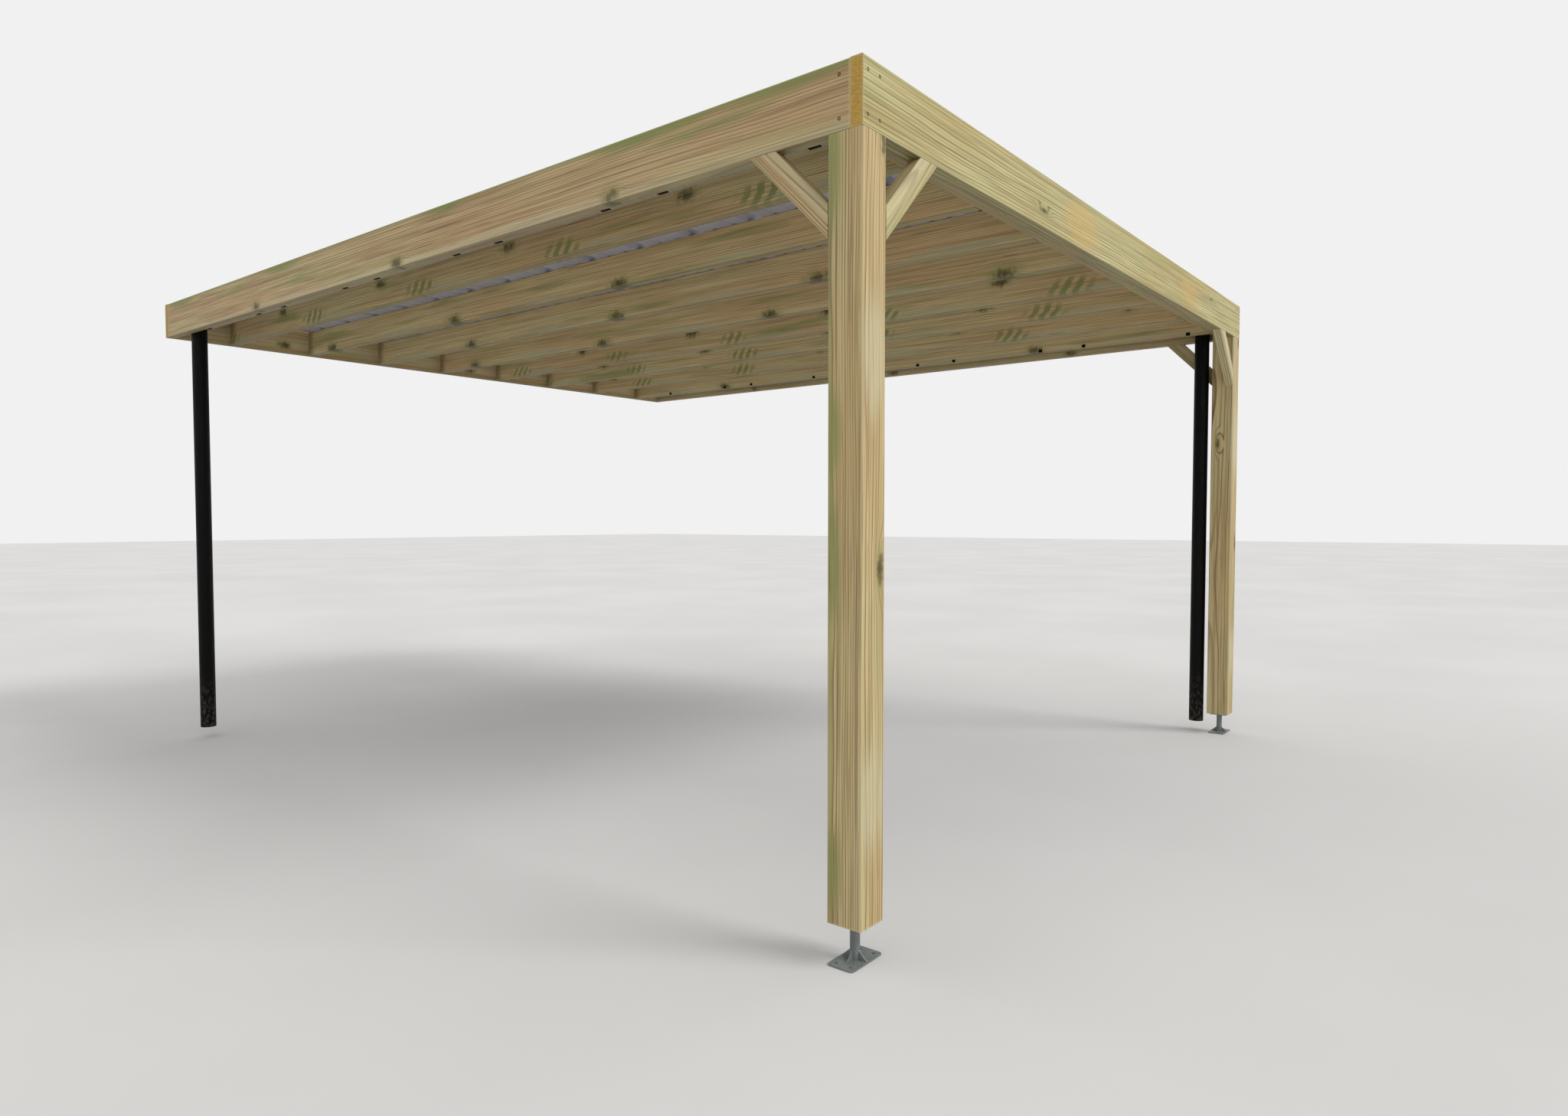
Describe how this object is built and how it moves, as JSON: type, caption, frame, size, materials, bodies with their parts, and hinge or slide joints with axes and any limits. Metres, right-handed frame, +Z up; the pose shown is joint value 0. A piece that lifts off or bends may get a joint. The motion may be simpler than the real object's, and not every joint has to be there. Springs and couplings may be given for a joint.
{
  "type": "carport",
  "caption": "Flat-roofed timber carport fixed to a wall along one side, with braced posts on steel feet, joists, ribbed roof sheets, gutters and downpipes",
  "frame": {"origin": "centre of the back face of the wall ledger, the face that lies against the wall", "axes": "+Y goes into the wall and -Y out from it towards the posts, +Z is up, +X runs along the wall"},
  "size_m": [4.08, 5, 2.57],
  "materials": {
    "front_timber": "pressure-treated softwood, yellow-green, planed, with grain lines and knots",
    "side_timber": "pressure-treated softwood, tan, planed, with grain lines and knots",
    "joist_timber": "pressure-treated softwood, brown with green streaks, planed",
    "foot_steel": "zinc-grey coated steel, matt",
    "roof_metal": "coated ribbed steel sheet, grey",
    "gutter_metal": "folded steel, coated olive brown, satin",
    "pipe_plastic": "black plastic pipe, satin"
  },
  "bodies": {
    "root": {"front_fascia": "front_timber", "left_fascia": "side_timber", "right_fascia": "side_timber", "wall_ledger": "side_timber", "front_inner_beam": "side_timber", "joist_1": "joist_timber", "joist_2": "joist_timber", "joist_3": "joist_timber", "joist_4": "joist_timber", "joist_5": "joist_timber", "joist_6": "joist_timber", "joist_7": "joist_timber", "joist_8": "joist_timber", "left_post": "front_timber", "right_post": "front_timber", "left_post_front_brace": "front_timber", "left_post_side_brace": "front_timber", "right_post_front_brace": "front_timber", "right_post_side_brace": "front_timber", "left_post_foot": "foot_steel", "right_post_foot": "foot_steel", "roof_sheet_1": "roof_metal", "roof_sheet_2": "roof_metal", "roof_sheet_3": "roof_metal", "roof_sheet_4": "roof_metal", "roof_sheet_5": "roof_metal", "left_gutter": "gutter_metal", "right_gutter": "gutter_metal", "left_downpipe": "pipe_plastic", "right_downpipe": "pipe_plastic"}
  },
  "joints": []
}
